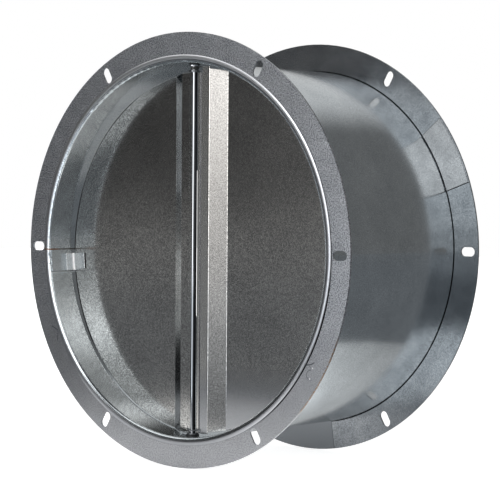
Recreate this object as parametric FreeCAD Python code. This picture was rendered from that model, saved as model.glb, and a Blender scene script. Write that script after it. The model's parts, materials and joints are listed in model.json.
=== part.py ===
import FreeCAD, Part
import math
import os

# Duct backdraft damper: a flanged galvanised tube with two spring-closed half-disc blades on one rod.
# Millimetres. Y is the duct axis and points the way the air flows, Z is up and the rod is vertical.
# The origin is on the duct axis, in the front face of the inlet flange.

# Casing and flanges
bore_diameter = 400.0
casing_wall = 1.0
casing_length = 223.5
lip_reach = 8.5
lip_bend_radius = 2.5
flange_reach = 32.5
flange_thickness = 2.0
slot_setback = 19.0
slot_count = 6
slot_length = 18.0
slot_width = 10.0
seat_gap = 0.05

# Lap of the rolled casing sheet, on the left inside wall
lap_top_drop = 3.5
lap_width = 24.5
joggle_width = 2.0

# Joints of the flange rings, each covered by a spot-welded splice plate
outlet_splice_angle = 28.75
inlet_splice_angle = -33.0
splice_span = 19.9
splice_thickness = 1.0
splice_margin = 1.3
butt_groove_width = 0.5
butt_groove_depth = 0.4
inlet_butt_angle = -31.8
inlet_butt_length = 14.0
outlet_butt_angle = -80.7

# Rod and its fixings
rod_diameter = 6.0
rod_depth = 23.4
rod_hole_clearance = 0.1
rod_end_past_nut = 1.8
seal_washer_thickness = 1.4
top_seal_radius = 6.0
bottom_seal_radius = 7.0
rod_washer_radius = 7.0
rod_washer_thickness = 1.2
outer_washer_radius = 6.0
outer_washer_thickness = 1.6
nut_across_flats = 10.0
nut_height = 5.0
fixing_bore_clearance = 0.05

# Blades, folded from sheet
blade_thickness = 0.8
left_rim_gap = 4.5
left_blade_drop = 3.9
right_rim_gap = 4.0
right_blade_drop = 0.3
flat_set_back = 1.4
hinge_edge = 3.8
hem_width = 4.2
flat_half_width = 20.0
joggle_run = 17.5
joggle_depth = 10.3
fold_inner_radius = 1.2

# Hinge lugs, welded to the backs of the blades
lug_thickness = 1.0
lug_eye_radius = 6.0
lug_height = 15.0
lug_start = 8.5
lug_width = 10.0
lug_foot = 2.15
lug_bend_radius = 0.8
lug_running_clearance = 0.05
lug_spacing = 0.1
bottom_lug_rise = 3.9
notch_reach = 10.0
notch_clearance = 0.4

# Closing spring round the rod, with one leg behind each blade
spring_wire = 1.0
wire_sides = 8
spring_mean_radius = 4.25
spring_turns = 2.5
spring_pitch = 1.05
spring_leg_reach = 16.0
spring_leg_drop = 8.0
spring_leg_gap = 0.1
spring_bend_radius = 1.5

# Stop tabs that the closed blades rest against
tab_thickness = 1.0
tab_wall_leg = 12.0
tab_reach = 18.9
tab_top_drop = 8.2
tab_height = 20.0
tab_gap = 0.2
tab_bend_radius = 0.8

bore_radius = bore_diameter / 2
tube_radius = bore_radius + casing_wall
flange_radius = bore_radius + flange_reach
slot_pitch_radius = bore_radius + slot_setback
lap_radius = bore_radius - casing_wall
rod_radius = rod_diameter / 2
along_duct = FreeCAD.Vector(0, 1, 0)
up = FreeCAD.Vector(0, 0, 1)
across = FreeCAD.Vector(1, 0, 0)


def at(x, y, z):
    return FreeCAD.Vector(x, y, z)


def wall_height(x):
    """Height of the casing's inside wall above the duct axis, at a distance x beside the axis."""
    return math.sqrt(bore_radius**2 - x**2)


def arc(start, middle, end):
    return Part.Arc(start, middle, end).toShape()


def quarter_arc(centre_x, centre_y, radius, from_degrees, to_degrees):
    """Arc in the XY plane."""
    points = []
    for degrees in (from_degrees, (from_degrees + to_degrees) / 2, to_degrees):
        angle = math.radians(degrees)
        points.append(at(centre_x + radius * math.cos(angle), centre_y + radius * math.sin(angle), 0))
    return arc(*points)


def line(start, end):
    return Part.makeLine(start, end)


def chain(*edges):
    """Face inside edges that follow one another, with straight edges added where two don't meet."""
    joined = []
    for number, edge in enumerate(edges):
        following = edges[(number + 1) % len(edges)]
        joined.append(edge)
        end = edge.valueAt(edge.LastParameter)
        start = following.valueAt(following.FirstParameter)
        if end.distanceToPoint(start) > 1e-6:
            joined.append(line(end, start))
    return Part.Face(Part.Wire(joined))


def polygon(points):
    return Part.Face(Part.makePolygon([*points, points[0]]))


def ring(outer_radius, inner_radius, bottom, height, x=0.0, y=0.0):
    """Upright ring with its axis along Z."""
    outer = Part.makeCylinder(outer_radius, height, at(x, y, bottom), up)
    return outer.cut(Part.makeCylinder(inner_radius, height, at(x, y, bottom), up))


def duct_sector(inner_radius, outer_radius, front, depth, start_degrees, end_degrees):
    """Part of a ring about the duct axis, between two angles measured from +X towards +Z."""
    profile = polygon([
        at(inner_radius, front, 0),
        at(outer_radius, front, 0),
        at(outer_radius, front + depth, 0),
        at(inner_radius, front + depth, 0),
    ])
    profile.rotate(at(0, 0, 0), along_duct, -start_degrees)
    return profile.revolve(at(0, 0, 0), along_duct, start_degrees - end_degrees)


def mirror_sideways(shape):
    return shape.mirror(at(0, 0, 0), across)


def save(shape, node):
    solid = shape.removeSplitter()
    if solid.ShapeType != "Solid" and len(solid.Solids) == 1:
        solid = solid.Solids[0]
    solid.exportStep("parts/" + node + ".step")
    print(node, "solids", len(solid.Solids), "volume", round(solid.Volume, 1), "valid", solid.isValid())
    return solid


# Casing: the tube's ends are turned over the flanges, so its section carries both lips.
# Behind each lip's rounding the sheet lies on the bevelled edge of the flange's bore.
bend_centre_radius = bore_radius + lip_bend_radius
bend_centre_inlet = -seat_gap - casing_wall + lip_bend_radius
bend_centre_outlet = casing_length - bend_centre_inlet
lip_radius = bore_radius + lip_reach


def casing_tube():
    section = chain(
        quarter_arc(bend_centre_radius, bend_centre_outlet, lip_bend_radius, 180, 90),
        line(
            at(lip_radius, casing_length + seat_gap + casing_wall, 0),
            at(lip_radius, casing_length + seat_gap, 0),
        ),
        line(
            at(bend_centre_radius, casing_length + seat_gap, 0),
            at(tube_radius, bend_centre_outlet, 0),
        ),
        line(at(tube_radius, bend_centre_inlet, 0), at(bend_centre_radius, -seat_gap, 0)),
        line(at(lip_radius, -seat_gap, 0), at(lip_radius, -seat_gap - casing_wall, 0)),
        quarter_arc(bend_centre_radius, bend_centre_inlet, lip_bend_radius, 270, 180),
    )
    tube = section.revolve(at(0, 0, 0), along_duct, 360)
    tube = tube.fuse(lap_band())
    rod_hole_radius = rod_radius + rod_hole_clearance
    rod_hole = Part.makeCylinder(rod_hole_radius, 2 * flange_radius, at(0, rod_depth, -flange_radius), up)
    return tube.cut(rod_hole)


def lap_band():
    """Inside layer of the lap: a square cut edge above, and a joggle that leads into it from below."""
    def on_wall(radius, drop):
        return at(-math.sqrt(radius**2 - drop**2), bend_centre_inlet, -drop)

    buried_radius = bore_radius + casing_wall / 2
    lap_bottom_drop = lap_top_drop + lap_width
    joggle_drop = lap_bottom_drop + joggle_width
    middle_drop = lap_top_drop + lap_width / 2
    section = chain(
        arc(on_wall(lap_radius, lap_top_drop), on_wall(lap_radius, middle_drop), on_wall(lap_radius, lap_bottom_drop)),
        line(on_wall(lap_radius, lap_bottom_drop), on_wall(bore_radius, joggle_drop)),
        arc(on_wall(buried_radius, joggle_drop), on_wall(buried_radius, middle_drop), on_wall(buried_radius, lap_top_drop)),
    )
    return section.extrude(at(0, bend_centre_outlet - bend_centre_inlet, 0))


# Flanges: flat rings with radial slots, trapped under the casing's lips.
def flange_ring():
    """The inlet flange's ring. The outlet flange is the same ring turned round."""
    section = polygon([
        at(tube_radius + seat_gap, bend_centre_inlet, 0),
        at(bend_centre_radius, 0, 0),
        at(flange_radius, 0, 0),
        at(flange_radius, flange_thickness, 0),
        at(tube_radius + seat_gap, flange_thickness, 0),
    ])
    body = section.revolve(at(0, 0, 0), along_duct, 360)
    for number in range(slot_count):
        body = body.cut(radial_slot(360.0 * number / slot_count))
    return body


def radial_slot(degrees):
    half_straight = (slot_length - slot_width) / 2
    depth = 3 * flange_thickness
    front = at(slot_pitch_radius, -flange_thickness, 0)
    slot = Part.makeBox(
        2 * half_straight, depth, slot_width, front + at(-half_straight, 0, -slot_width / 2)
    )
    for side in (-1, 1):
        end = Part.makeCylinder(slot_width / 2, depth, front + at(side * half_straight, 0, 0), along_duct)
        slot = slot.fuse(end)
    slot.rotate(at(0, 0, 0), along_duct, -degrees)
    return slot


def butt_groove(degrees, face, into, start_radius, end_radius):
    """Shallow groove where the ends of the ring's strip meet. It sinks from a face in the direction into."""
    front = face if into > 0 else face - butt_groove_depth
    groove = Part.makeBox(
        end_radius - start_radius, butt_groove_depth, butt_groove_width,
        at(start_radius, front, -butt_groove_width / 2),
    )
    groove.rotate(at(0, 0, 0), along_duct, -degrees)
    return groove


def inlet_flange():
    groove = butt_groove(inlet_butt_angle, 0, 1, tube_radius, tube_radius + inlet_butt_length)
    return flange_ring().cut(groove)


def outlet_flange():
    turned = flange_ring().mirror(at(0, casing_length / 2, 0), along_duct)
    face = casing_length - flange_thickness
    groove = butt_groove(outlet_butt_angle, face, 1, tube_radius, flange_radius)
    return turned.cut(groove)


def splice_plate(centre_degrees, front):
    return duct_sector(
        tube_radius + splice_margin,
        flange_radius - splice_margin,
        front,
        splice_thickness,
        centre_degrees - splice_span / 2,
        centre_degrees + splice_span / 2,
    )


# Rod and fixings: each stack is worked out from the casing wall inwards.
top_seal_top = wall_height(top_seal_radius) - seat_gap
top_seal_bottom = top_seal_top - seal_washer_thickness
rod_washer_bottom = top_seal_bottom - rod_washer_thickness
bottom_seal_bottom = -wall_height(bottom_seal_radius) + seat_gap
bottom_seal_top = bottom_seal_bottom + seal_washer_thickness
outer_washer_inner_face = tube_radius + seat_gap
nut_inner_face = outer_washer_inner_face + outer_washer_thickness
rod_half_length = nut_inner_face + nut_height + rod_end_past_nut


def hinge_rod():
    rod = Part.makeCylinder(rod_radius, 2 * rod_half_length, at(0, rod_depth, -rod_half_length), up)
    return rod.makeChamfer(rod_radius / 6, rod.Edges[0:1] + rod.Edges[2:3])


def rod_ring(outer_radius, bottom, height):
    return ring(outer_radius, rod_radius + fixing_bore_clearance, bottom, height, 0, rod_depth)


def hex_nut(bottom):
    corner_radius = nut_across_flats / math.sqrt(3)
    corners = []
    for number in range(6):
        angle = math.radians(60 * number)
        corners.append(at(corner_radius * math.cos(angle), rod_depth + corner_radius * math.sin(angle), bottom))
    prism = polygon(corners).extrude(at(0, 0, nut_height))
    chamfer = corner_radius - nut_across_flats / 2
    slope = chamfer * math.tan(math.radians(30))
    edge_radius = nut_across_flats / 2
    turned = Part.makeCylinder(corner_radius, nut_height - 2 * slope, at(0, rod_depth, bottom + slope), up)
    lower = Part.makeCone(edge_radius, corner_radius, slope, at(0, rod_depth, bottom), up)
    upper = Part.makeCone(corner_radius, edge_radius, slope, at(0, rod_depth, bottom + nut_height - slope), up)
    bore = Part.makeCylinder(rod_radius + fixing_bore_clearance, nut_height, at(0, rod_depth, bottom), up)
    return prism.common(turned.fuse([lower, upper])).cut(bore)


# Lugs: the top stack hangs below the spring, the bottom one stands on the seal washer.
flat_back = rod_depth + flat_set_back + blade_thickness
foot_back = flat_back + seat_gap + lug_foot
spring_leg_depth = foot_back + spring_wire / 2 + spring_leg_gap
spring_leg_drift = spring_pitch * (spring_leg_depth - rod_depth) / (2 * math.pi * spring_mean_radius)
spring_height = spring_turns * spring_pitch + spring_wire + 2 * spring_leg_drift
spring_top = rod_washer_bottom - lug_spacing
spring_bottom = spring_top - spring_height
right_top_eye = spring_bottom - lug_spacing - lug_thickness
left_top_eye = right_top_eye - lug_spacing - lug_thickness
left_bottom_eye = bottom_seal_top + lug_spacing
right_bottom_eye = left_bottom_eye + bottom_lug_rise


def hinge_lug(eye_bottom, leg_direction, side):
    """L-shaped lug: an eye round the rod, and a leg that is welded to the back of the blade's flat."""
    leg_front = flat_back + seat_gap
    eye = Part.makeCylinder(lug_eye_radius, lug_thickness, at(0, rod_depth, eye_bottom), up)
    arm = polygon([
        at(0, rod_depth - lug_eye_radius, eye_bottom),
        at(lug_start, leg_front, eye_bottom),
        at(lug_start + lug_width, leg_front, eye_bottom),
        at(lug_start + lug_width, foot_back, eye_bottom),
        at(lug_start, foot_back, eye_bottom),
        at(0, rod_depth + lug_eye_radius, eye_bottom),
    ]).extrude(at(0, 0, lug_thickness))
    leg_bottom = eye_bottom
    if leg_direction < 0:
        leg_bottom = eye_bottom + lug_thickness - lug_height
    leg = Part.makeBox(lug_width, lug_thickness, lug_height, at(lug_start, leg_front, leg_bottom))
    plate = eye.fuse([arm, leg])
    pin_hole = Part.makeCylinder(
        rod_radius + lug_running_clearance, lug_thickness, at(0, rod_depth, eye_bottom), up
    )
    plate = plate.cut(pin_hole).removeSplitter()
    fold_height = eye_bottom + (lug_thickness if leg_direction < 0 else 0)
    fold = edge_through(plate, at(lug_start + lug_width / 2, leg_front, fold_height))
    plate = plate.makeFillet(lug_bend_radius, [fold])
    return plate if side > 0 else mirror_sideways(plate)


def edge_through(shape, point):
    """Edge of a shape that passes through a point."""
    probe = Part.Vertex(point)
    nearest = min(shape.Edges, key=lambda edge: edge.distToShape(probe)[0])
    return nearest


# Blades: a folded section along the rod, trimmed to a half disc.
main_front = rod_depth + flat_set_back + joggle_depth
main_back = main_front + blade_thickness
joggle_end = flat_half_width + joggle_run
fold_angle = math.atan2(joggle_depth, joggle_run)
fold_shift = blade_thickness * math.tan(fold_angle / 2)
flat_front = rod_depth + flat_set_back


def blade_section():
    """Closed section of the right blade: hem, hinge flat, joggle and main plane."""
    hem_centre = hinge_edge + blade_thickness
    hem_end = hinge_edge + hem_width
    end = bore_radius
    back = flat_front + blade_thickness
    return chain(
        line(at(hem_end, flat_front, 0), at(hem_end, flat_front - blade_thickness, 0)),
        quarter_arc(hem_centre, flat_front, blade_thickness, 270, 90),
        line(at(flat_half_width - fold_shift, back, 0), at(joggle_end - fold_shift, main_back, 0)),
        line(at(end, main_back, 0), at(end, main_front, 0)),
        line(at(joggle_end, main_front, 0), at(flat_half_width, flat_front, 0)),
    )


def folded_strip():
    strip = blade_section().extrude(at(0, 0, 2 * bore_radius))
    strip.translate(at(0, 0, -bore_radius))
    outer_radius = fold_inner_radius + blade_thickness
    outside = [(flat_half_width, flat_front), (joggle_end - fold_shift, main_back)]
    inside = [(flat_half_width - fold_shift, flat_back), (joggle_end, main_front)]
    for corners, radius in ((outside, outer_radius), (inside, fold_inner_radius)):
        edges = [edge_through(strip, at(x, y, 0)) for x, y in corners]
        strip = strip.makeFillet(radius, edges)
    return strip


def blade(side, rim_gap, drop, flat_bottom, flat_top, notches):
    """Blade with a hinge flat that runs between two heights and is notched where lugs pass through it."""
    depth = 2 * (main_front - rod_depth + blade_thickness)
    disc = Part.makeCylinder(bore_radius - rim_gap, depth, at(0, rod_depth - depth / 2, -drop), along_duct)
    flat_region = Part.makeBox(
        flat_half_width, depth, flat_top - flat_bottom, at(0, rod_depth - depth / 2, flat_bottom)
    )
    wing_region = Part.makeBox(
        bore_radius, depth, 2 * bore_radius, at(flat_half_width, rod_depth - depth / 2, -bore_radius)
    )
    outline = flat_region.fuse(disc.common(wing_region))
    sheet = folded_strip().common(outline)
    for bottom, top in notches:
        notch = Part.makeBox(notch_reach, depth, top - bottom, at(0, rod_depth - depth / 2, bottom))
        sheet = sheet.cut(notch)
    return sheet if side > 0 else mirror_sideways(sheet)


def eye_notch(eye_bottom):
    return (eye_bottom - notch_clearance, eye_bottom + lug_thickness + notch_clearance)


# Spring: a few turns round the rod. Each end runs out to the back of one blade.
def bent_wire(points, bend_radius):
    """Straight edges along the points, with an arc at each corner."""
    edges = []
    start = points[0]
    for before, corner, after in zip(points, points[1:], points[2:]):
        arriving = (corner - before).normalize()
        leaving = (after - corner).normalize()
        half_turn = arriving.getAngle(leaving) / 2
        reach = bend_radius * math.tan(half_turn)
        inward = (leaving - arriving).normalize()
        centre = corner + inward * (bend_radius / math.cos(half_turn))
        bend_start = corner - arriving * reach
        bend_end = corner + leaving * reach
        edges.append(line(start, bend_start))
        edges.append(arc(bend_start, centre - inward * bend_radius, bend_end))
        start = bend_end
    edges.append(line(start, points[-1]))
    return edges


def coil_point(turns):
    """Point on the coil's centre line, after so many turns from its start on the rod's left."""
    angle = math.pi * (1 + 2 * turns)
    low = spring_bottom + spring_wire / 2 + spring_leg_drift
    return at(
        spring_mean_radius * math.cos(angle),
        rod_depth + spring_mean_radius * math.sin(angle),
        low + spring_pitch * turns,
    )


def coil_arcs():
    """The coil as arcs of a quarter turn, each tilted to rise with the turn."""
    edges = []
    for number in range(round(4 * spring_turns)):
        edges.append(arc(*[coil_point((number + part) / 4) for part in (0, 0.5, 1)]))
    return edges


def closing_spring():
    coil = coil_arcs()
    wire_radius = spring_wire / 2
    behind_flat = flat_back + wire_radius + spring_leg_gap
    leg_side = lug_start + lug_width / 2
    coil_start = coil_point(0)
    coil_end = coil_point(spring_turns)
    start_heading = coil[0].tangentAt(coil[0].FirstParameter)
    slope = start_heading.z / math.hypot(start_heading.x, start_heading.y)
    left_height = coil_start.z - slope * (spring_leg_depth - rod_depth)
    right_height = coil_end.z + slope * (behind_flat - rod_depth)
    left_leg = bent_wire([
        at(-leg_side, spring_leg_depth, left_height - spring_leg_drop),
        at(-leg_side, spring_leg_depth, left_height),
        at(-spring_mean_radius, spring_leg_depth, left_height),
        coil_start,
    ], spring_bend_radius)
    right_leg = bent_wire([
        coil_end,
        at(spring_mean_radius, behind_flat, right_height),
        at(spring_leg_reach, behind_flat, right_height),
    ], spring_bend_radius)
    route = Part.Wire(left_leg + coil + right_leg)
    section = polygon([
        left_leg[0].Vertexes[0].Point + at(wire_radius * math.cos(angle), wire_radius * math.sin(angle), 0)
        for angle in (2 * math.pi * number / wire_sides for number in range(wire_sides))
    ])
    return route.makePipe(section)


# Stop tabs: one leg on the casing wall, the other across the front of the blade's rim.
def stop_tab(side):
    wall = lap_radius if side < 0 else bore_radius
    leg_radius = wall - seat_gap
    leg_back = main_front - tab_gap
    start_angle = -math.degrees(math.asin((tab_top_drop + tab_height) / leg_radius))
    end_angle = -math.degrees(math.asin(tab_top_drop / leg_radius))
    inner_radius = leg_radius - tab_thickness
    wall_leg = duct_sector(
        inner_radius, leg_radius, leg_back - tab_wall_leg, tab_wall_leg, start_angle, end_angle
    )
    rest_leg = duct_sector(
        leg_radius - tab_reach, leg_radius, leg_back - tab_thickness, tab_thickness, start_angle, end_angle
    )
    tab = wall_leg.fuse(rest_leg).removeSplitter()
    middle = math.radians((start_angle + end_angle) / 2)
    outer_fold = at(leg_radius * math.cos(middle), leg_back, leg_radius * math.sin(middle))
    inner_fold = at(
        inner_radius * math.cos(middle), leg_back - tab_thickness, inner_radius * math.sin(middle)
    )
    folds = ((outer_fold, tab_bend_radius + tab_thickness), (inner_fold, tab_bend_radius))
    for point, radius in folds:
        tab = tab.makeFillet(radius, [edge_through(tab, point)])
    return tab if side > 0 else mirror_sideways(tab)


os.makedirs("parts", exist_ok=True)

save(casing_tube(), "casing_tube")
save(inlet_flange(), "inlet_flange")
save(outlet_flange(), "outlet_flange")
save(splice_plate(inlet_splice_angle, flange_thickness + seat_gap), "inlet_flange_splice")
outlet_splice_front = casing_length - flange_thickness - seat_gap - splice_thickness
save(splice_plate(outlet_splice_angle, outlet_splice_front), "outlet_flange_splice")
save(stop_tab(-1), "left_stop_tab")
save(stop_tab(1), "right_stop_tab")

save(hinge_rod(), "hinge_rod")
save(rod_ring(top_seal_radius, top_seal_bottom, seal_washer_thickness), "top_seal_washer")
save(rod_ring(rod_washer_radius, rod_washer_bottom, rod_washer_thickness), "top_rod_washer")
save(rod_ring(bottom_seal_radius, bottom_seal_bottom, seal_washer_thickness), "bottom_seal_washer")
save(rod_ring(outer_washer_radius, outer_washer_inner_face, outer_washer_thickness), "top_outer_washer")
bottom_washer_bottom = -outer_washer_inner_face - outer_washer_thickness
save(rod_ring(outer_washer_radius, bottom_washer_bottom, outer_washer_thickness), "bottom_outer_washer")
save(hex_nut(nut_inner_face), "top_nut")
save(hex_nut(-nut_inner_face - nut_height), "bottom_nut")
save(closing_spring(), "closing_spring")

left_notches = [eye_notch(right_bottom_eye)]
right_notches = [(left_top_eye - notch_clearance, rod_washer_bottom), eye_notch(right_bottom_eye)]
left_flat_bottom = left_bottom_eye + lug_thickness + lug_spacing
left_flat_top = left_top_eye - lug_spacing
left_blade = blade(-1, left_rim_gap, left_blade_drop, left_flat_bottom, left_flat_top, left_notches)
save(left_blade, "left_blade")
right_flat_top = rod_washer_bottom - lug_spacing
right_blade = blade(1, right_rim_gap, right_blade_drop, left_flat_bottom, right_flat_top, right_notches)
save(right_blade, "right_blade")
save(hinge_lug(left_top_eye, -1, -1), "left_top_lug")
save(hinge_lug(left_bottom_eye, 1, -1), "left_bottom_lug")
save(hinge_lug(right_top_eye, -1, 1), "right_top_lug")
save(hinge_lug(right_bottom_eye, 1, 1), "right_bottom_lug")
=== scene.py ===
import json
import math

import bpy
from mathutils import Matrix, Vector


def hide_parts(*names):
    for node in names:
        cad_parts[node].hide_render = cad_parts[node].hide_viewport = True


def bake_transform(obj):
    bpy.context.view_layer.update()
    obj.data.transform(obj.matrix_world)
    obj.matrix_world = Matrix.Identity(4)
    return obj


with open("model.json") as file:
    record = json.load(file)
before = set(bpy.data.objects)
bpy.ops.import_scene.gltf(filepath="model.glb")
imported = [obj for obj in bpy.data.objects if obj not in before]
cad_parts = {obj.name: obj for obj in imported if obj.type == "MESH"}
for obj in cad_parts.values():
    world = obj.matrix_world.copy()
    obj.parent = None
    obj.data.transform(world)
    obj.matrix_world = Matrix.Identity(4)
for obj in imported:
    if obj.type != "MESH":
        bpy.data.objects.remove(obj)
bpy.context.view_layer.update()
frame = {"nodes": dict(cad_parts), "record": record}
nodes = frame["nodes"]
print("frame loaded:", len(nodes), "nodes")

mm = 0.001


# sRGB hex to the linear values that Blender's sockets take
def linearColour(hexText, alpha=1.0):
    parts = [int(hexText[i:i + 2], 16) / 255 for i in (1, 3, 5)]
    return [p / 12.92 if p <= 0.04045 else ((p + 0.055) / 1.055) ** 2.4 for p in parts] + [alpha]


def addNode(tree, kind, settings={}, inputs={}):
    node = tree.nodes.new(kind)
    for name, value in settings.items():
        setattr(node, name, value)
    for socket, value in inputs.items():
        if isinstance(value, bpy.types.NodeSocket):
            tree.links.new(value, node.inputs[socket])
        else:
            node.inputs[socket].default_value = value
    return node


def newMaterial(name):
    material = bpy.data.materials.new(name)
    material.use_nodes = True
    material.node_tree.nodes.clear()
    return material, material.node_tree


def meshObject(name, points, edges, faces):
    mesh = bpy.data.meshes.new(name)
    mesh.from_pydata(points, edges, faces)
    thing = bpy.data.objects.new(name, mesh)
    bpy.context.scene.collection.objects.link(thing)
    return thing


# the product of several masks or strengths
def allOf(tree, *masks):
    total = masks[0]
    for mask in masks[1:]:
        total = addNode(tree, "ShaderNodeMath", {"operation": "MULTIPLY"}, {0: total, 1: mask}).outputs[0]
    return total


# camera: found from the ellipses of both flanges
camera = {
    "place": (1.4280, -1.5214, 0.06284),
    "right": (0.753375, 0.657556, 0.006816),
    "down": (0.024615, -0.017841, -0.999538),
    "forward": (-0.657131, 0.753194, -0.029627),
    "lens": 140.8,
}
eye = bpy.data.objects.new("camera", bpy.data.cameras.new("camera"))
eye.data.lens = camera["lens"]
eye.data.sensor_width = 36
eye.data.clip_start = 0.05
columns = [Vector(camera["right"]), -Vector(camera["down"]), -Vector(camera["forward"])]
turn = Matrix([[c[row] for c in columns] for row in range(3)])
eye.matrix_world = Matrix.Translation(camera["place"]) @ turn.to_4x4()
bpy.context.scene.collection.objects.link(eye)
bpy.context.scene.camera = eye


# stage: white floor, and a studio room of cloth and soft lights that only the metal sees, in metres
stage = {
    "flangeFoot": -0.2325,     # the flanges' lowest point
    "floorDrop": 0.0004,       # floor under it
    "floorSize": 6.0,
    "floorPaint": "#c8c8c8",
    "cameraLift": 0.85,        # the floor's own light for the camera
    # what metal mirrors of the table: each row eases along an axis, from place to place and strength to strength
    "tableGlow": {
        "behind": ("Y", 0.20, 0.38, 0.36, 0.08),
        "right": ("X", 0.02, 0.12, 0, 0.74), "rightEnd": ("Y", 0.22, 0.12, 0, 1),
        "front": ("Y", 0.03, -0.06, 0, 0.34), "frontEnd": ("Y", -0.28, -0.16, 0, 1),
    },
    # corners of the bare white table, grey cloth lies outside them
    "table": [(-0.40, -0.44), (-0.14, -0.44), (0.0, -0.31), (0.28, -0.03),
              (0.25, 0.30), (0.23, 0.36), (0.10, 0.46), (-0.42, 0.56)],
    "clothHeight": 0.004,
    "clothTint": "#f4f9ff",
    # what metal mirrors of the cloth, in the same kind of rows; a name as the last strength is that row's result
    "clothGlow": {
        "right": ("Y", 0.08, 0.35, 0.27, 0.18),
        "leftToRight": ("X", -0.3, 0.4, 0.15, "right"),
        "farRight": ("X", 0.2, 1.0, 0, 0.15), "farFront": ("Y", -0.4, -1.6, 0, 1),
        "pastTable": ("away", 0.58, 0.72, 0, 1),
    },
    # white cards lying on the cloth: azimuth from -Y towards +X and half width in degrees, strength
    "cards": [(-12, 11, 2.6), (-112, 26, 1.1)],
    "cardSoft": 4,             # soft edge of the cards in degrees
    "roomRadius": 5.0,
    "roomFoot": -20,           # degrees below the horizon
    "roomRings": 24, "roomSpokes": 48,
}
floorHeight = stage["flangeFoot"] - stage["floorDrop"]

world = bpy.data.worlds.new("studio air")
bpy.context.scene.world = world
world.use_nodes = True
world.node_tree.nodes.clear()
air = addNode(world.node_tree, "ShaderNodeBackground", {}, {"Color": (1, 1, 1, 1), "Strength": 1.0})
addNode(world.node_tree, "ShaderNodeOutputWorld", {}, {"Surface": air.outputs[0]})


# strengths that ease along an axis by the rows of a table: axis, place from and to, strength from and to
def easedGlow(tree, axes, rows):
    glow = {}
    for name, (axis, start, end, first, last) in rows.items():
        glow[name] = addNode(tree, "ShaderNodeMapRange", {"interpolation_type": "SMOOTHSTEP"}, {
            "Value": axes[axis], "From Min": start, "From Max": end,
            "To Min": first, "To Max": glow.get(last, last)}).outputs[0]
    return glow


# strength within half of the middle, easing to 0 over the soft edge, all in degrees
def withinArc(tree, away, half, soft, strength=1):
    aside = addNode(tree, "ShaderNodeMath", {"operation": "ABSOLUTE"}, {0: away})
    return addNode(tree, "ShaderNodeMapRange", {"interpolation_type": "SMOOTHSTEP"}, {
        "Value": aside.outputs[0], "From Min": math.radians(half + soft), "From Max": math.radians(half - soft),
        "To Max": strength}).outputs[0]


# azimuth of a direction, from -Y towards +X
def azimuthOf(tree, axes):
    flip = addNode(tree, "ShaderNodeMath", {"operation": "MULTIPLY"}, {0: axes["Y"], 1: -1})
    return addNode(tree, "ShaderNodeMath", {"operation": "ARCTAN2"}, {0: axes["X"], 1: flip.outputs[0]}).outputs[0]


def buildFloor():
    half = stage["floorSize"]
    corners = [(-half, -half, floorHeight), (half, -half, floorHeight),
               (half, half, floorHeight), (-half, half, floorHeight)]
    floor = meshObject("floor", corners, [], [(0, 1, 2, 3)])
    material, tree = newMaterial("white floor")
    place = addNode(tree, "ShaderNodeTexCoord")
    axes = addNode(tree, "ShaderNodeSeparateXYZ", {}, {0: place.outputs["Object"]}).outputs
    glow = easedGlow(tree, axes, stage["tableGlow"])
    withRight = addNode(tree, "ShaderNodeMath", {"operation": "MULTIPLY_ADD"}, {
        0: glow["right"], 1: glow["rightEnd"], 2: glow["behind"]})
    withFront = addNode(tree, "ShaderNodeMath", {"operation": "MULTIPLY_ADD"}, {
        0: glow["front"], 1: glow["frontEnd"], 2: withRight.outputs[0]})
    rays = addNode(tree, "ShaderNodeLightPath").outputs
    metalLift = allOf(tree, rays["Is Glossy Ray"], withFront.outputs[0])
    seen = addNode(tree, "ShaderNodeMath", {"operation": "MAXIMUM"}, {
        0: rays["Is Camera Ray"], 1: rays["Is Transmission Ray"]})
    strength = addNode(tree, "ShaderNodeMath", {"operation": "MULTIPLY_ADD"}, {
        0: seen.outputs[0], 1: stage["cameraLift"], 2: metalLift})
    paint = addNode(tree, "ShaderNodeBsdfDiffuse", {}, {"Color": linearColour(stage["floorPaint"])})
    lift = addNode(tree, "ShaderNodeEmission", {}, {"Color": (1, 1, 1, 1), "Strength": strength.outputs[0]})
    both = addNode(tree, "ShaderNodeAddShader", {}, {0: paint.outputs[0], 1: lift.outputs[0]})
    addNode(tree, "ShaderNodeOutputMaterial", {}, {"Surface": both.outputs[0]})
    floor.data.materials.append(material)


buildFloor()


# each light: azimuth from -Y towards +X, elevation, half width, half height, soft edge (all degrees), strength
roomLights = {
    "dark": 0.04,
    "panels": [
        (-12, 7, 11, 19, 4, 4.2),       # tall strip light in front, left of the camera: white fold lines
        (13, 22, 28, 21, 8, 1.75),      # wide softbox over the camera
        (30, 4, 28, 10, 9, 0.50),       # pale wall below it, right
        (-112, 15, 26, 30, 5, 1.6),     # softbox on the left: white line of the lip on the right
        (-52, 47, 32, 17, 8, 1.6),      # high, in front on the left: crown of the lip at the top
        (95, 38, 40, 18, 12, 0.8),      # right, high
        (80, 10, 14, 14, 6, 1.6),       # small card on the right: light patch on the left blade's slant
        (-135, 40, 47, 28, 18, 0.72),   # behind, left, high
        (140, 5, 40, 60, 15, 0.17),     # dim wall behind, right
        (-28, 0, 12, 14, 8, 0.14),      # light spilling past the strip light
        (0, -12, 200, 12, 1.5, 0.21),   # studio floor all round
    ],
}


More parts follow.
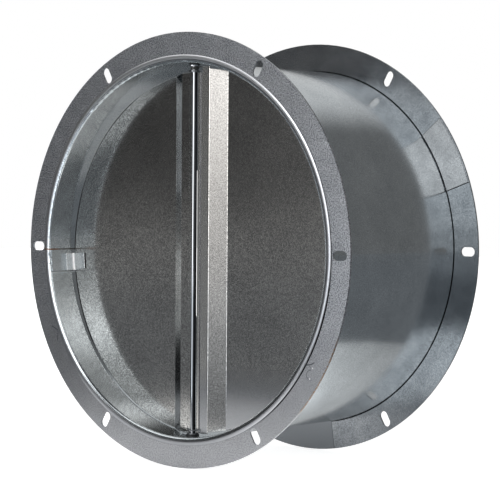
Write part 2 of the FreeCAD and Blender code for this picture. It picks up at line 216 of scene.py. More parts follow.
def buildRoom():
    rings, spokes, radius, foot = stage["roomRings"], stage["roomSpokes"], stage["roomRadius"], stage["roomFoot"]
    points, faces = [], []
    for i in range(rings + 1):
        elevation = math.radians(foot + (90 - foot) * i / rings)
        for j in range(spokes):
            a = 2 * math.pi * j / spokes
            points.append((radius * math.cos(elevation) * math.cos(a), radius * math.cos(elevation) * math.sin(a),
                           radius * math.sin(elevation)))
    for i in range(rings):
        for j in range(spokes):
            k = (j + 1) % spokes
            faces.append((i * spokes + j, (i + 1) * spokes + j, (i + 1) * spokes + k, i * spokes + k))
    room = meshObject("studioRoom", points, [], faces)
    material, tree = newMaterial("studio cloth and softboxes")
    place = addNode(tree, "ShaderNodeTexCoord")
    direction = addNode(tree, "ShaderNodeVectorMath", {"operation": "NORMALIZE"}, {0: place.outputs["Object"]})
    axes = addNode(tree, "ShaderNodeSeparateXYZ", {}, {0: direction.outputs[0]}).outputs
    azimuth = azimuthOf(tree, axes)
    elevation = addNode(tree, "ShaderNodeMath", {"operation": "ARCSINE"}, {0: axes["Z"]})
    total = roomLights["dark"]
    for az, el, halfWide, halfHigh, soft, strength in roomLights["panels"]:
        away = addNode(tree, "ShaderNodeMath", {"operation": "SUBTRACT"}, {0: azimuth, 1: math.radians(az)})
        wrapped = addNode(tree, "ShaderNodeMath", {"operation": "WRAP"}, {
            0: away.outputs[0], 1: math.pi, 2: -math.pi})
        risen = addNode(tree, "ShaderNodeMath", {"operation": "SUBTRACT"}, {
            0: elevation.outputs[0], 1: math.radians(el)})
        wide = withinArc(tree, wrapped.outputs[0], halfWide, soft)
        high = withinArc(tree, risen.outputs[0], halfHigh, soft)
        total = addNode(tree, "ShaderNodeMath", {"operation": "MAXIMUM"}, {
            0: total, 1: allOf(tree, wide, high, strength)}).outputs[0]
    glow = addNode(tree, "ShaderNodeEmission", {}, {"Color": (1, 1, 1, 1), "Strength": total})
    addNode(tree, "ShaderNodeOutputMaterial", {}, {"Surface": glow.outputs[0]})
    room.data.materials.append(material)
    room.visible_camera = False


buildRoom()


def buildCloth():
    z = floorHeight + stage["clothHeight"]
    inner = [(x, y, z) for x, y in stage["table"]]
    outer = []
    for x, y in stage["table"]:
        reach = math.hypot(x, y)
        outer.append((x * stage["roomRadius"] / reach, y * stage["roomRadius"] / reach, z))
    count = len(inner)
    faces = [(i, (i + 1) % count, (i + 1) % count + count, i + count) for i in range(count)]
    cloth = meshObject("greyCloth", inner + outer, [], faces)
    material, tree = newMaterial("grey studio cloth")
    place = addNode(tree, "ShaderNodeTexCoord")
    split = addNode(tree, "ShaderNodeSeparateXYZ", {}, {0: place.outputs["Object"]}).outputs
    away = addNode(tree, "ShaderNodeVectorMath", {"operation": "LENGTH"}, {0: place.outputs["Object"]})
    axes = {"X": split["X"], "Y": split["Y"], "away": away.outputs["Value"]}
    glow = easedGlow(tree, axes, stage["clothGlow"])
    strength = addNode(tree, "ShaderNodeMath", {"operation": "MULTIPLY_ADD"}, {
        0: glow["farRight"], 1: glow["farFront"], 2: glow["leftToRight"]})
    azimuth = azimuthOf(tree, axes)
    for middle, halfWide, cardGlow in stage["cards"]:
        offset = addNode(tree, "ShaderNodeMath", {"operation": "SUBTRACT"}, {0: azimuth, 1: math.radians(middle)})
        card = withinArc(tree, offset.outputs[0], halfWide, stage["cardSoft"], cardGlow)
        strength = addNode(tree, "ShaderNodeMath", {"operation": "MULTIPLY_ADD"}, {
            0: card, 1: glow["pastTable"], 2: strength.outputs[0]})
    weave = addNode(tree, "ShaderNodeEmission", {}, {
        "Color": linearColour(stage["clothTint"]), "Strength": strength.outputs[0]})
    addNode(tree, "ShaderNodeOutputMaterial", {}, {"Surface": weave.outputs[0]})
    cloth.data.materials.append(material)
    cloth.visible_camera = False
    cloth.visible_shadow = False
    cloth.visible_diffuse = False


buildCloth()
print("stage and camera done")


# Hot-dip galvanised sheet, skin-passed: satin zinc with a fine grain, and soft clouds where the coating froze
# unevenly. Its real grain is about 0.3 mm, and is drawn at 1 mm so that it shows.
ductSheet = {
    "light": "#dbe1e4", "dark": "#a6adb1", "specks": 0.50, "clouds": 0.18, "grain": 1.1, "cloud": 35.0,
    "roughness": 0.18, "roughnessSpread": 0.02, "grainDepth": 0.004, "waveDepth": 0.03, "wave": 70.0,
}
# The same zinc on the blades, pressed from a duller sheet: an even grain of small bright and dark specks.
bladeSheet = {
    "light": "#eae9e6", "dark": "#979796", "specks": 0.75, "clouds": 0.12, "grain": 1.15, "cloud": 50.0,
    "roughness": 0.155, "roughnessSpread": 0.02, "grainDepth": 0.004, "waveDepth": 0.02, "wave": 90.0,
}
# The hinge lugs are cut from the same sheet, painted a darker grey as painted shade.
shadedLugSheet = {
    "light": "#85878a", "dark": "#636568", "specks": 0.5, "clouds": 0.3, "grain": 1.2, "cloud": 8.0,
    "roughness": 0.30, "roughnessSpread": 0.02, "grainDepth": 0.003, "waveDepth": 0.02, "wave": 30.0,
}
# The stop tabs are cut from paler sheet, and the white of their bend is a painted highlight.
tabSheet = {
    "light": "#e8ebec", "dark": "#ccd0d2", "specks": 0.3, "clouds": 0.2, "grain": 1.0, "cloud": 12.0,
    "roughness": 0.24, "roughnessSpread": 0.02, "grainDepth": 0.004, "waveDepth": 0.02, "wave": 30.0,
}
# Rolled strip of the inlet flange: rougher zinc with coarse specks of 1 to 2 mm.
flangeStrip = {
    "light": "#d6d8dc", "dark": "#74777d", "specks": 1.1, "clouds": 0.15, "grain": 1.4, "cloud": 20.0,
    "roughness": 0.35, "roughnessSpread": 0.05, "grainDepth": 0.022, "waveDepth": 0.03, "wave": 60.0,
}
# The outlet flange comes from a smoother strip: finer specks, and clouds left by the rolls.
smoothStrip = {
    "light": "#b9bdc1", "dark": "#868b90", "specks": 0.5, "clouds": 0.35, "grain": 1.2, "cloud": 28.0,
    "roughness": 0.23, "roughnessSpread": 0.02, "grainDepth": 0.003, "waveDepth": 0.03, "wave": 70.0,
}
# Splice plates: cut from the same strip as the outlet flange, but paler.
spliceStrip = {
    "light": "#cacbcc", "dark": "#9c9d9f", "specks": 0.5, "clouds": 0.3, "grain": 1.2, "cloud": 20.0,
    "roughness": 0.25, "roughnessSpread": 0.02, "grainDepth": 0.004, "waveDepth": 0.03, "wave": 60.0,
}


# 1 between low and high, falling to 0 over soft on either side
def band(tree, value, low, high, soft):
    rise = addNode(tree, "ShaderNodeMapRange", {}, {"Value": value, "From Min": low - soft, "From Max": low})
    fall = addNode(tree, "ShaderNodeMapRange", {}, {"Value": value, "From Min": high + soft, "From Max": high})
    return allOf(tree, rise.outputs[0], fall.outputs[0])


ductMiddle = 111.75            # half the length over the flanges, mm


# where a point is: distance from the duct's axis and from the middle of its length, angle from +X in degrees,
# height, side and depth, and the sheet's grain there
def ductPlaces(tree, place, grain):
    axes = addNode(tree, "ShaderNodeSeparateXYZ", {}, {0: place}).outputs
    flat = addNode(tree, "ShaderNodeCombineXYZ", {}, {"X": axes["X"], "Z": axes["Z"]})
    radius = addNode(tree, "ShaderNodeVectorMath", {"operation": "LENGTH"}, {0: flat.outputs[0]})
    along = addNode(tree, "ShaderNodeMath", {"operation": "SUBTRACT"}, {0: axes["Y"], 1: ductMiddle * mm})
    outward = addNode(tree, "ShaderNodeMath", {"operation": "ABSOLUTE"}, {0: along.outputs[0]})
    turn = addNode(tree, "ShaderNodeMath", {"operation": "ARCTAN2"}, {0: axes["Z"], 1: axes["X"]})
    degrees = addNode(tree, "ShaderNodeMath", {"operation": "DEGREES"}, {0: turn.outputs[0]})
    return {"place": place, "radius": radius.outputs["Value"], "outward": outward.outputs[0],
            "angle": degrees.outputs[0], "height": axes["Z"], "side": axes["X"], "along": axes["Y"], "grain": grain}


# 1 where every named place lies between low and high, falling to 0 over soft: in mm, degrees or grain
def patch(tree, at, limits):
    masks = []
    for name, (low, high, soft) in limits.items():
        unit = 1 if name in ("angle", "grain") else mm
        masks.append(band(tree, at[name], low * unit, high * unit, soft * unit))
    return allOf(tree, *masks)


# the marks of a table, in the order in which they lie on each other: where each lies, its colour, and its
# roughness where that isn't the sheet's; a mark named in extra is weakened by what extra says as well
def marksFrom(tree, at, table, extra={}):
    return [(allOf(tree, patch(tree, at, limits), *extra.get(name, [])), colour, roughness)
            for name, (limits, colour, roughness) in table.items()]


def polar(radius, degrees):
    turn = math.radians(degrees)
    return Vector((radius * mm * math.cos(turn), 0, radius * mm * math.sin(turn)))


# a scratch or a joint line: a straight stroke between two places on the flange's face
def stroke(tree, place, start, end, halfWide, soft):
    line = end - start
    unit = line.normalized()
    across = Vector((-unit.z, 0, unit.x))
    offset = addNode(tree, "ShaderNodeVectorMath", {"operation": "SUBTRACT"}, {0: place, 1: start}).outputs[0]
    forth = addNode(tree, "ShaderNodeVectorMath", {"operation": "DOT_PRODUCT"}, {0: offset, 1: unit})
    aside = addNode(tree, "ShaderNodeVectorMath", {"operation": "DOT_PRODUCT"}, {0: offset, 1: across})
    return allOf(tree, band(tree, forth.outputs["Value"], 0, line.length, soft * mm),
                 band(tree, aside.outputs["Value"], -halfWide * mm, halfWide * mm, soft * mm))


# a round mark: distance from its middle between inner and outer, in the plane of the flange
def ring(tree, place, middle, inner, outer, soft):
    flat = addNode(tree, "ShaderNodeVectorMath", {"operation": "MULTIPLY"}, {0: place, 1: (1, 0, 1)})
    away = addNode(tree, "ShaderNodeVectorMath", {"operation": "DISTANCE"}, {0: flat.outputs[0], 1: middle})
    return band(tree, away.outputs["Value"], inner * mm, outer * mm, soft * mm)


def noMarks(tree, at):
    return []


# the dark joint where the casing comes through a flange, with the gap's shade painted in
tubeJoint = ({"radius": (199, 201.7, 0.4), "outward": (90, 110.2, 0.2)}, "#1d1e20", None)

# the inlet flange: its lower part painted an even, darker grey as painted shade, the dark joint round the casing's
# lip with painted shade of the gap, a spot weld with its specks, a butt joint, a scratch, a little rust on its rim
# and pale scuffs; corners are radius in mm and degrees
inletWear = {
    "under": {
        # painted shade: the flange's lower part in an even, darker grey
        "lowerShade": ({"angle": (-150, -35, 25)}, "#a2a3a6", None),
        # a dark joint round the lip, with the shade of the gap painted in
        "lipJoint": ({"radius": (208.3, 209.3, 0.35), "outward": (111.4, 120, 0.1), "angle": (-48, -14, 12)},
                     "#17171a", None),
        "tubeJoint": tubeJoint,
    },
    "lowerShadeShare": 0.65,
    "front": (-2, 0.2, 0.1),   # depth of the front face
    "weld": {"middle": (219.0, -33.6), "reach": 5.2, "line": 0.5, "soft": 0.6, "sideSoft": 2, "colour": "#808286"},
    "weldSpecks": [((217.6, -31.6), 0.4), ((220.4, -34.6), 0.5)],
    "speckColour": "#ffffff", "speckRoughness": 0.6,
    "lineSoft": 0.3,
    "lines": [
        ([(208.3, -32.4), (214.0, -31.0), (216.5, -30.0)], 0.40, "#57595d"),         # butt joint
        ([(216.4, -155.3), (209.3, -153.1), (215.3, -150.5)], 0.30, "#686a6e"),      # scratch
    ],
    "over": {
        "rust": ({"radius": (232.0, 240, 0.3), "angle": (-42, -23, 3), "grain": (0.50, 1.0, 0.06)}, "#8f765f", 0.5),
        "scuffs": ({"along": (-2, 0.2, 0.1), "angle": (5, 150, 25)}, "#eceef0", 0.33),
    },
    "scuff": {"size": 9, "detail": 4.0, "roughness": 0.75, "from": 0.58, "to": 0.66, "share": 0.5},
}


def inletMarks(tree, at):
    wear, place = inletWear, at["place"]
    front = patch(tree, at, {"along": wear["front"]})
    marks = marksFrom(tree, at, wear["under"], {"lowerShade": [wear["lowerShadeShare"]]})
    weld = wear["weld"]
    middle = polar(*weld["middle"])
    weldRing = ring(tree, place, middle, weld["reach"] - weld["line"], weld["reach"], weld["soft"])
    innerHalf = band(tree, at["side"], 0, middle.x, weld["sideSoft"] * mm)
    marks.append((allOf(tree, front, weldRing, innerHalf), weld["colour"], None))
    for where, reach in wear["weldSpecks"]:
        speck = ring(tree, place, polar(*where), 0, reach, weld["soft"])
        marks.append((allOf(tree, front, speck), wear["speckColour"], wear["speckRoughness"]))
    for corners, halfWide, tone in wear["lines"]:
        ends = [polar(*corner) for corner in corners]
        for first, last in zip(ends, ends[1:]):
            line = stroke(tree, place, first, last, halfWide, wear["lineSoft"])
            marks.append((allOf(tree, front, line), tone, None))
    scuff = wear["scuff"]
    noise = addNode(tree, "ShaderNodeTexNoise", {}, {
        "Vector": place, "Scale": 1 / (scuff["size"] * mm), "Detail": scuff["detail"],
        "Roughness": scuff["roughness"]})
    scuffed = addNode(tree, "ShaderNodeMapRange", {}, {
        "Value": noise.outputs["Fac"], "From Min": scuff["from"], "From Max": scuff["to"], "To Max": scuff["share"]})
    return marks + marksFrom(tree, at, wear["over"], {"scuffs": [scuffed.outputs[0]]})


# the outlet flange: its strip is darker to the left of the seam at the bottom
outletWear = {
    "tubeJoint": tubeJoint,
    "lowerLeft": ({"angle": (-140, -80.7, 0.15), "outward": (105, 111, 0.3)}, "#8c9094", None),
}


def outletMarks(tree, at):
    return marksFrom(tree, at, outletWear)


# the splice plate on the outlet flange: a dark seam outside its inner part, partly painted shade of the gap
spliceWear = {"seam": ({"along": (150, 240, 5)}, "#2a2b2d", None)}
spliceInside = {"angle": (19.1, 38.5, 0.2), "radius": (202.2, 240, 0.4)}


def spliceMarks(tree, at):
    inside = patch(tree, at, spliceInside)
    edge = addNode(tree, "ShaderNodeMath", {"operation": "SUBTRACT"}, {0: 1.0, 1: inside})
    return marksFrom(tree, at, spliceWear, {"seam": [edge.outputs[0]]})


# the blades: the right one's narrow flat by the rod is duller, its foot darker, its slant evener towards the top
# and its hem painted dark as painted shade beside the rod; the left one's slant is darker at its top and at its
# foot, painted shade copying what it mirrors of the wall
bladeWear = {
    "flat": ({"side": (0.5, 18, 1), "outward": (84, 120, 0.5)}, "#dddcd9", 0.23),
    "foot": ({"side": (8, 200, 1), "height": (-210, -150, 30), "grain": (-1.2, 0.9, 1.0)}, "#aeb0b3", None),
    "slant": ({"side": (20, 37, 1)}, "#c9c4bf", None),
    # painted shade: the hem beside the rod painted dark
    "hem": ({"side": (2.8, 4.6, 0.3)}, "#48484a", None),
    "hemEnd": ({"side": (7.7, 8.4, 0.3)}, "#77777a", None),
    # painted shade: the left slant darker at top and foot, copying the reflection of the wall
    "leftSlantTop": ({"side": (-36.5, -20.5, 0.5), "height": (60, 210, 20)}, "#8f9092", None),
    "leftSlantFoot": ({"side": (-36.5, -20.5, 0.5), "height": (-210, -120, 40)}, "#626366", None),
}
slantShare = {"foot": -160, "top": 100, "footShare": 0.05, "topShare": 0.5}


def bladeMarks(tree, at):
    slant = patch(tree, at, bladeWear["slant"][0])
    offSlant = addNode(tree, "ShaderNodeMath", {"operation": "SUBTRACT"}, {0: 1.0, 1: slant})
    share = addNode(tree, "ShaderNodeMapRange", {}, {
        "Value": at["height"], "From Min": slantShare["foot"] * mm, "From Max": slantShare["top"] * mm,
        "To Min": slantShare["footShare"], "To Max": slantShare["topShare"]})
    return marksFrom(tree, at, bladeWear, {"foot": [offSlant.outputs[0]], "slant": [share.outputs[0]]})


# the stop tabs: a painted highlight, white on the bend, on its front or on its side, and a dark cut edge with the
# painted shadow of the leg's end
tabWear = {
    # painted highlight: the bend painted white
    "bend": ({"radius": (195.8, 201, 0.3), "along": (33.0, 40, 0.4)}, "#ffffff", 0.5),
    # the cut edge is dark, and the shadow of the leg's end on the blade is painted in with it
    "cutEdge": ({"radius": (170, 180.3, 0.1)}, "#3a3b3d", 0.5),
}
tabBendHighlight = {"front": {"along": (33.0, 33.8, 0.4)}, "side": {"radius": (195.8, 198.0, 0.3)}}


def tabMarks(tree, at):
    bend = addNode(tree, "ShaderNodeMath", {"operation": "MAXIMUM"}, {
        0: patch(tree, at, tabBendHighlight["front"]), 1: patch(tree, at, tabBendHighlight["side"])})
    return marksFrom(tree, at, tabWear, {"bend": [bend.outputs[0]]})


# the casing: the lip's face dulled by the rolling and painted paler as painted light on its right and top, painted
# shade in its groove, its cut edge dark with painted shade of the gap, grime with the painted shadow of the step and
# brown rust along the lap's cut edge inside, the lap's other end, and painted shade on the wall seen through the gap
# behind the closed left blade's rim
casingWear = {
    "lipFace": ({"radius": (203.2, 208.3, 0.5), "outward": (112.4, 120, 0.2)}, "#a1a3a7", 0.32),
    # painted light: the lip painted paler on its right
    "rightLip": ({"radius": (203.2, 208.3, 0.5), "outward": (112.4, 120, 0.2), "angle": (-60, 45, 20)},
                 "#b0b2b6", 0.32),
    # painted light: the lip painted paler at its top
    "topLip": ({"radius": (203.2, 208.3, 0.5), "outward": (112.4, 120, 0.2), "angle": (50, 135, 30)},
               "#e2e4e7", 0.28),
    # painted shade: the groove at the lip's inner edge painted dark
    "groove": ({"radius": (203.3, 203.6, 0.35), "outward": (112.2, 120, 0.2)}, "#515256", None),
    # the lip's cut edge, dark, with painted shade of the gap outside it
    "lipEdge": ({"radius": (208.35, 215, 0.1), "outward": (111, 120, 0.3)}, "#6a6b6e", None),
    # grime along the lap's cut edge, with the step's shadow painted in
    "lapGrime": ({"side": (-212, -150, 2), "height": (-3.9, -3.1, 0.5), "grain": (0.3, 1.0, 0.2)},
                 "#6f6c68", None),
    "lapRust": ({"side": (-212, -150, 2), "height": (-3.9, -3.1, 0.5), "grain": (0.46, 1.0, 0.08),
                 "outward": (104, 120, 8)}, "#8c5a34", 0.6),
    "lapEnd": ({"side": (-212, -150, 2), "height": (-28.9, -28.3, 0.3), "radius": (190, 200.5, 0.2)},
               "#7c8083", 0.4),
    # painted shade: a dark line on the wall, seen through the gap past the left blade's rim
    "rimDirt": ({"radius": (190, 200.5, 0.2), "side": (-210, -120, 20), "height": (-105, 210, 15),
                 "pastRim": (35.4, 38.0, 0.4)}, "#232426", 0.5),
}
# the painted shade lies deeper by (area + slope x height) / distance from the rod, in mm, because the gap is wider
# there
rimGap = {"area": 600, "slope": 4.47}


def casingMarks(tree, at):
    reach = addNode(tree, "ShaderNodeMath", {"operation": "MULTIPLY_ADD"}, {
        0: at["height"], 1: rimGap["slope"] * mm, 2: rimGap["area"] * mm * mm})
    leftward = addNode(tree, "ShaderNodeMath", {"operation": "MULTIPLY"}, {0: at["side"], 1: -1})
    deeper = addNode(tree, "ShaderNodeMath", {"operation": "DIVIDE"}, {0: reach.outputs[0], 1: leftward.outputs[0]})
    pastRim = addNode(tree, "ShaderNodeMath", {"operation": "SUBTRACT"}, {0: at["along"], 1: deeper.outputs[0]})
    return marksFrom(tree, {**at, "pastRim": pastRim.outputs[0]}, casingWear)


# the rolled lip: a crown across its face and fine ribs along it, as a height in metres
lipRelief = {
    "inner": 202.3, "outer": 208.5, "middle": 205.4, "halfWide": 3, "crown": 0.60,
    "ribs": 0.012, "ribPitch": 1.6, "ribRadius": 205, "reach": (109.5, 120, 2),
}


def lipHeight(tree, at):
    relief = lipRelief
    onLip = addNode(tree, "ShaderNodeClamp", {}, {
        "Value": at["radius"], "Min": relief["inner"] * mm, "Max": relief["outer"] * mm})
    aside = addNode(tree, "ShaderNodeMath", {"operation": "SUBTRACT"}, {
        0: onLip.outputs[0], 1: relief["middle"] * mm})
    square = allOf(tree, aside.outputs[0], aside.outputs[0])
    ribs = addNode(tree, "ShaderNodeTexNoise", {"noise_dimensions": "1D"}, {
        "W": at["angle"], "Scale": math.radians(relief["ribRadius"]) / relief["ribPitch"], "Detail": 0.0})
    nearLip = patch(tree, at, {"outward": relief["reach"]})
    ribHeight = allOf(tree, ribs.outputs["Fac"], nearLip, relief["ribs"] * mm)
    crown = -relief["crown"] * mm / (relief["halfWide"] * mm) ** 2
    return addNode(tree, "ShaderNodeMath", {"operation": "MULTIPLY_ADD"}, {
        0: square, 1: crown, 2: ribHeight}).outputs[0]


# noise hardly leaves these values, and specks and clouds are spread over them
noiseSpread = {"From Min": 0.38, "From Max": 0.62, "To Min": -1, "To Max": 1}


def zincMaterial(name, zinc, marks=noMarks, relief=None, foldRadius=0):
    material, tree = newMaterial(name)
    place = addNode(tree, "ShaderNodeTexCoord").outputs["Object"]
    grain = addNode(tree, "ShaderNodeTexNoise", {}, {
        "Vector": place, "Scale": 1 / (zinc["grain"] * mm), "Detail": 2.0, "Roughness": 0.6})
    cloud = addNode(tree, "ShaderNodeTexNoise", {}, {
        "Vector": place, "Scale": 1 / (zinc["cloud"] * mm), "Detail": 3.0, "Roughness": 0.55})
    wave = addNode(tree, "ShaderNodeTexNoise", {}, {
        "Vector": place, "Scale": 1 / (zinc["wave"] * mm), "Detail": 0.0})
    specks = addNode(tree, "ShaderNodeMapRange", {"clamp": False}, {"Value": grain.outputs["Fac"], **noiseSpread})
    clouds = addNode(tree, "ShaderNodeMapRange", {"clamp": False}, {"Value": cloud.outputs["Fac"], **noiseSpread})
    speckTone = addNode(tree, "ShaderNodeMath", {"operation": "MULTIPLY_ADD"}, {
        0: specks.outputs[0], 1: zinc["specks"] / 2, 2: 0.5})
    tone = addNode(tree, "ShaderNodeMath", {"operation": "MULTIPLY_ADD", "use_clamp": True}, {
        0: clouds.outputs[0], 1: zinc["clouds"] / 2, 2: speckTone.outputs[0]})
    colour = addNode(tree, "ShaderNodeMix", {"data_type": "RGBA"}, {
        "Factor": tone.outputs[0], "A": linearColour(zinc["dark"]), "B": linearColour(zinc["light"])})
    skin = colour.outputs[2]
    rough = addNode(tree, "ShaderNodeMath", {"operation": "MULTIPLY_ADD"}, {
        0: specks.outputs[0], 1: -zinc["roughnessSpread"], 2: zinc["roughness"]}).outputs[0]
    at = ductPlaces(tree, place, grain.outputs["Fac"])
    for mask, markColour, markRoughness in marks(tree, at):
        skin = addNode(tree, "ShaderNodeMix", {"data_type": "RGBA"}, {
            "Factor": mask, "A": skin, "B": linearColour(markColour)}).outputs[2]
        if markRoughness is not None:
            rough = addNode(tree, "ShaderNodeMix", {"data_type": "FLOAT"}, {
                "Factor": mask, "A": rough, "B": markRoughness}).outputs[0]
    sheetWave = addNode(tree, "ShaderNodeBump", {}, {
        "Strength": 1.0, "Distance": zinc["waveDepth"] * mm, "Height": wave.outputs["Fac"]})
    grainBump = addNode(tree, "ShaderNodeBump", {}, {
        "Strength": 1.0, "Distance": zinc["grainDepth"] * mm, "Height": grain.outputs["Fac"],
        "Normal": sheetWave.outputs[0]})
    if foldRadius:             # folded edges are rounded, and mirror the lights as a thin white line
        fold = addNode(tree, "ShaderNodeBevel", {"samples": 8}, {"Radius": foldRadius * mm})
        tree.links.new(fold.outputs[0], sheetWave.inputs["Normal"])
    if relief:
        grainBump = addNode(tree, "ShaderNodeBump", {}, {
            "Strength": 1.0, "Distance": 1.0, "Height": relief(tree, at), "Normal": grainBump.outputs[0]})
    shader = addNode(tree, "ShaderNodeBsdfPrincipled", {}, {
        "Base Color": skin, "Metallic": 1.0, "Roughness": rough, "Normal": grainBump.outputs[0]})
    addNode(tree, "ShaderNodeOutputMaterial", {}, {"Surface": shader.outputs[0]})
    return material


casingZinc = zincMaterial("galvanised duct sheet, lapped", ductSheet, casingMarks, lipHeight)
bladeZinc = zincMaterial("galvanised blade sheet", bladeSheet, bladeMarks, foldRadius=0.9)
lugZinc = zincMaterial("galvanised lug sheet", shadedLugSheet)
tabZinc = zincMaterial("galvanised tab sheet", tabSheet, tabMarks, foldRadius=1.6)
flangeZinc = zincMaterial("galvanised flange strip", flangeStrip, inletMarks)
smoothZinc = zincMaterial("smooth galvanised strip", smoothStrip, outletMarks)
spliceZinc = zincMaterial("galvanised splice strip", spliceStrip, spliceMarks)

# Bright zinc electroplate on turned steel: nearly a mirror, faint drawing lines.
plate = {"colour": "#b9bcc0", "roughness": 0.22, "spread": 0.03, "lines": 0.25, "stretch": 0.02, "shadedSide": None}
# The rod is cold-drawn bar with a thin dark plate: white lines, and its right side is painted dark as painted shade.
drawnBar = {
    "colour": "#b4b7bb", "roughness": 0.07, "spread": 0.03, "lines": 0.25, "stretch": 0.02,
    "shadedSide": {"colour": "#303134", "side": (2.1, 1000, 0.5)},
}


def platedMaterial(name, plating):
    material, tree = newMaterial(name)
    place = addNode(tree, "ShaderNodeTexCoord").outputs["Object"]
    stretched = addNode(tree, "ShaderNodeMapping", {}, {"Vector": place, "Scale": (1, 1, plating["stretch"])})
    lines = addNode(tree, "ShaderNodeTexNoise", {}, {
        "Vector": stretched.outputs[0], "Scale": 1 / (plating["lines"] * mm), "Detail": 2.0})
    rough = addNode(tree, "ShaderNodeMath", {"operation": "MULTIPLY_ADD"}, {
        0: lines.outputs["Fac"], 1: 2 * plating["spread"], 2: plating["roughness"] - plating["spread"]})
    skin = linearColour(plating["colour"])
    # painted shade: the named side of the bar is painted dark
    if plating["shadedSide"]:
        axes = addNode(tree, "ShaderNodeSeparateXYZ", {}, {0: place}).outputs
        shadedPart = patch(tree, {"side": axes["X"]}, {"side": plating["shadedSide"]["side"]})
        skin = addNode(tree, "ShaderNodeMix", {"data_type": "RGBA"}, {
            "Factor": shadedPart, "A": skin, "B": linearColour(plating["shadedSide"]["colour"])}).outputs[2]
    shader = addNode(tree, "ShaderNodeBsdfPrincipled", {}, {
        "Base Color": skin, "Metallic": 1.0, "Roughness": rough.outputs[0]})
    addNode(tree, "ShaderNodeOutputMaterial", {}, {"Surface": shader.outputs[0]})
    return material


brightZinc = platedMaterial("bright zinc plated steel", plate)
rodZinc = platedMaterial("zinc plated drawn bar", drawnBar)

# Drawn spring wire: dark oxide skin with a dull shine.
wire = {"colour": "#6f6e6c", "roughness": 0.34}
springSteel, tree = newMaterial("drawn spring steel wire")
shader = addNode(tree, "ShaderNodeBsdfPrincipled", {}, {
    "Base Color": linearColour(wire["colour"]), "Metallic": 1.0, "Roughness": wire["roughness"]})
addNode(tree, "ShaderNodeOutputMaterial", {}, {"Surface": shader.outputs[0]})

# Black nylon washers: matt moulded plastic.
nylon = {"colour": "#17181a", "roughness": 0.55}
blackNylon, tree = newMaterial("black nylon")
shader = addNode(tree, "ShaderNodeBsdfPrincipled", {}, {
    "Base Color": linearColour(nylon["colour"]), "Roughness": nylon["roughness"]})
addNode(tree, "ShaderNodeOutputMaterial", {}, {"Surface": shader.outputs[0]})

# finishes by the record's slot, and those that a word in a node's name gives instead, the last one that fits
finishes = {
    "galvanised_sheet": casingZinc,
    "galvanised_strip": flangeZinc,
    "zinc_plated_steel": brightZinc,
    "spring_steel": springSteel,
    "black_nylon": blackNylon,
}
ownFinishes = {
    "blade": bladeZinc, "lug": lugZinc, "stop_tab": tabZinc,
    "outlet_flange": smoothZinc, "splice": spliceZinc, "hinge_rod": rodZinc,
}
for part in frame["record"]["subparts"]:
    node = nodes[part["node"]]
    finish = finishes[part["material_slot"]]
    for word, ownFinish in ownFinishes.items():
        if word in part["node"]:
            finish = ownFinish
    node.data.materials.clear()
    node.data.materials.append(finish)
print("materials done")


# runs a node tree on a mesh, and keeps what it makes as that object's plain mesh
def applyTree(source, tree, values):
    modifier = source.modifiers.new("tree", "NODES")
    modifier.node_group = tree
    for item in tree.interface.items_tree:
        if item.item_type == "SOCKET" and item.in_out == "INPUT" and item.name in values:
            modifier[item.identifier] = values[item.name]
    bpy.context.view_layer.update()
    graph = bpy.context.evaluated_depsgraph_get()
    made = bpy.data.meshes.new_from_object(source.evaluated_get(graph), depsgraph=graph)
    source.modifiers.remove(modifier)
    source.data = made


# a node tree for a modifier: a mesh in, sizes by name, and a mesh out
def treeWithInputs(name, inputs):
    tree = bpy.data.node_groups.new(name, "GeometryNodeTree")
    tree.is_modifier = True
    tree.interface.new_socket("Mesh", in_out="INPUT", socket_type="NodeSocketGeometry")
    for label, kind in inputs:
        tree.interface.new_socket(label, in_out="INPUT", socket_type=kind)
    tree.interface.new_socket("Mesh", in_out="OUTPUT", socket_type="NodeSocketGeometry")
    return tree, addNode(tree, "NodeGroupInput").outputs


def finishTree(tree, geometry, skin):
    plain = addNode(tree, "GeometryNodeRealizeInstances", {}, {"Geometry": geometry})
    painted = addNode(tree, "GeometryNodeSetMaterial", {}, {"Geometry": plain.outputs[0], "Material": skin})
    addNode(tree, "NodeGroupOutput", {}, {0: painted.outputs[0]})


# closing spring: round wire wound two and a half turns on the rod, its legs pressing on both blades from behind
spring = {
    "wire": 1.0, "sides": 14, "meanRadius": 4.25, "turns": 2.5, "pitch": 1.05, "stepsPerTurn": 32,
    "rodDepth": 23.4, "lowTurn": 193.837, "leftHeight": 193.640, "rightHeight": 196.572,
    "leftDepth": 28.4, "rightDepth": 26.2, "leftSide": 13.5, "legDrop": 8.0, "rightReach": 16.0, "bend": 1.5,
}


def coilPoint(turns):
    angle = math.pi * (1 + 2 * turns)
    return Vector((spring["meanRadius"] * math.cos(angle),
                   spring["rodDepth"] + spring["meanRadius"] * math.sin(angle),
                   spring["lowTurn"] + spring["pitch"] * turns))


# a leg's corners as points, each corner rounded to the bend radius
def roundedLeg(corners, bend, steps=7):
    points = [corners[0]]
    for before, corner, after in zip(corners, corners[1:], corners[2:]):
        into, out = (before - corner).normalized(), (after - corner).normalized()
        halfAngle = into.angle(out) / 2
        reach = min(bend / math.tan(halfAngle), (before - corner).length / 2, (after - corner).length / 2)
        start, end = corner + into * reach, corner + out * reach
        for i in range(steps + 1):
            t = i / steps
            points.append(start * (1 - t) ** 2 + corner * 2 * t * (1 - t) + end * t ** 2)
    return points + [corners[-1]]


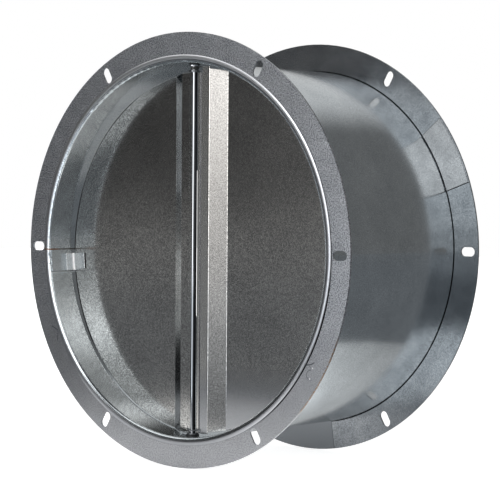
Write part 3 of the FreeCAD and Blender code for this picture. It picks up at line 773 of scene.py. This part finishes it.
wireTree, slots = treeWithInputs("round wire along a route", [
    ("Wire Radius", "NodeSocketFloat"), ("Wire Sides", "NodeSocketInt"), ("Skin", "NodeSocketMaterial")])
route = addNode(wireTree, "GeometryNodeMeshToCurve", {}, {"Mesh": slots["Mesh"]})
section = addNode(wireTree, "GeometryNodeCurvePrimitiveCircle", {}, {
    "Resolution": slots["Wire Sides"], "Radius": slots["Wire Radius"]})
tube = addNode(wireTree, "GeometryNodeCurveToMesh", {}, {
    "Curve": route.outputs[0], "Profile Curve": section.outputs[0], "Fill Caps": True})
smooth = addNode(wireTree, "GeometryNodeSetShadeSmooth", {}, {"Geometry": tube.outputs[0]})
finishTree(wireTree, smooth.outputs[0], slots["Skin"])

halfTurns = spring["turns"] / 2
steps = round(halfTurns * spring["stepsPerTurn"])
lowCoil = [coilPoint(halfTurns * i / steps) for i in range(steps + 1)]
highCoil = [coilPoint(halfTurns * (1 + i / steps)) for i in range(steps + 1)]
leftLeg = roundedLeg([
    Vector((-spring["leftSide"], spring["leftDepth"], spring["leftHeight"] - spring["legDrop"])),
    Vector((-spring["leftSide"], spring["leftDepth"], spring["leftHeight"])),
    Vector((-spring["meanRadius"], spring["leftDepth"], spring["leftHeight"])), lowCoil[0]], spring["bend"])
rightLeg = roundedLeg([
    highCoil[-1], Vector((spring["meanRadius"], spring["rightDepth"], spring["rightHeight"])),
    Vector((spring["rightReach"], spring["rightDepth"], spring["rightHeight"]))], spring["bend"])
springHalves = {
    "springLeftHalf": (leftLeg[:-1] + lowCoil, "left_leaf", -1),
    "springRightHalf": (highCoil + rightLeg[1:], "right_leaf", 1),
}
for name, (points, leaf, side) in springHalves.items():
    half = meshObject(name, [p * mm for p in points], [(i, i + 1) for i in range(len(points) - 1)], [])
    applyTree(half, wireTree, {
        "Wire Radius": spring["wire"] / 2 * mm, "Wire Sides": spring["sides"], "Skin": springSteel})
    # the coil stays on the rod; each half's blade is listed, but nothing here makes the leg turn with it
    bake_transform(half)
    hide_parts("closing_spring")
print("closing spring done")

scene = bpy.context.scene
scene.view_settings.view_transform = "Standard"
